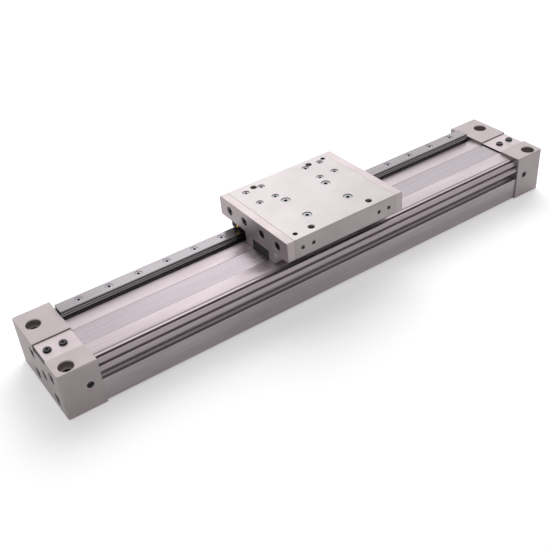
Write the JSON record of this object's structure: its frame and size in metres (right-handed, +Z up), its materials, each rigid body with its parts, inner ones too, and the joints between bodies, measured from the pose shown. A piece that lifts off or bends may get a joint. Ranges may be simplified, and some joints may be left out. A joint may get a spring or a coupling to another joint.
{
  "type": "rodless pneumatic cylinder",
  "caption": "Rodless air cylinder: a slotted, band-sealed tube with a piston-driven slide table that runs on a linear guide rail between two head covers.",
  "frame": {"origin": "on the mounting plane, midway between the two head covers and midway across their width", "axes": "+X along the tube towards the right head cover, -Y on the piston side and +Y on the guide rail side, +Z up out of the slide table"},
  "size_m": [0.47, 0.094, 0.066],
  "materials": {
    "clear_anodised": "clear anodised extrusion with fine die lines",
    "cover_anodised": "clear anodised, satin, bead blasted",
    "table_anodised": "clear anodised, ground top",
    "cover_grey": "grey anodised, satin",
    "piston_aluminium": "machined",
    "stainless_band": "rolled stainless strip",
    "ground_steel": "ground bearing steel",
    "black_screw": "black oxide",
    "plated_screw": "zinc plated",
    "black_rubber": "nitrile rubber, matt",
    "black_resin": "moulded resin, matt",
    "white_resin": "acetal resin, satin",
    "brass": "turned brass"
  },
  "bodies": {
    "barrel": {"cylinder_tube": "clear_anodised", "head_cover_left": "cover_anodised", "head_cover_right": "cover_anodised", "head_cover_screws": "black_screw", "cover_gaskets": "black_rubber", "cushion_bosses": "ground_steel", "stop_bumpers": "black_rubber", "dust_band": "stainless_band", "seal_belt": "black_rubber", "belt_seats": "black_resin", "band_clamps": "cover_grey", "clamp_screws": "black_screw", "band_magnets": "black_resin", "guide_rail": "ground_steel", "rail_screws": "plated_screw", "port_plugs": "black_screw"},
    "carriage": {"slide_table": "table_anodised", "table_cover_left": "cover_grey", "table_cover_right": "cover_grey", "table_cover_screws": "black_screw", "scrapers": "black_rubber", "piston_yoke": "piston_aluminium", "yoke_screws": "plated_screw", "piston_left": "piston_aluminium", "piston_right": "piston_aluminium", "piston_pins": "ground_steel", "piston_seals": "black_rubber", "cushion_seals": "black_rubber", "wear_rings": "white_resin", "piston_magnets": "black_resin", "belt_separators": "black_resin", "guide_block_left": "ground_steel", "guide_block_right": "ground_steel", "block_end_plates": "black_resin", "block_seals": "black_rubber", "guide_balls": "ground_steel", "block_screws": "plated_screw", "grease_nipples": "brass", "roller_pins": "ground_steel"},
    "roller_left": {"band_roller_left": "white_resin"},
    "roller_right": {"band_roller_right": "white_resin"},
    "needle_left": {"cushion_needle_left": "black_screw"},
    "needle_right": {"cushion_needle_right": "black_screw"}
  },
  "joints": [
    {"name": "table_slide", "type": "slide", "parent": "barrel", "child": "carriage", "axis": [1, 0, 0], "range_m": [-0.133, 0.117], "deforming": ["dust_band", "seal_belt"]},
    {"name": "roller_left_spin", "type": "hinge", "parent": "carriage", "child": "roller_left", "pos_m": [-0.0415, -0.009, 0.04105], "axis": [0, 1, 0], "range_deg": [-2600, 2300]},
    {"name": "roller_right_spin", "type": "hinge", "parent": "carriage", "child": "roller_right", "pos_m": [0.0575, -0.009, 0.04105], "axis": [0, 1, 0], "range_deg": [-2600, 2300]},
    {"name": "needle_left_turn", "type": "hinge", "parent": "barrel", "child": "needle_left", "pos_m": [-0.214, -0.037, 0.022], "axis": [0, 1, 0], "range_deg": [0, 720]},
    {"name": "needle_right_turn", "type": "hinge", "parent": "barrel", "child": "needle_right", "pos_m": [0.214, -0.037, 0.022], "axis": [0, 1, 0], "range_deg": [0, 720]}
  ],
  "couplings": [
    {"joint": "roller_left_spin", "follows": "table_slide", "rad_per_m": 333.33},
    {"joint": "roller_right_spin", "follows": "table_slide", "rad_per_m": 333.33}
  ]
}
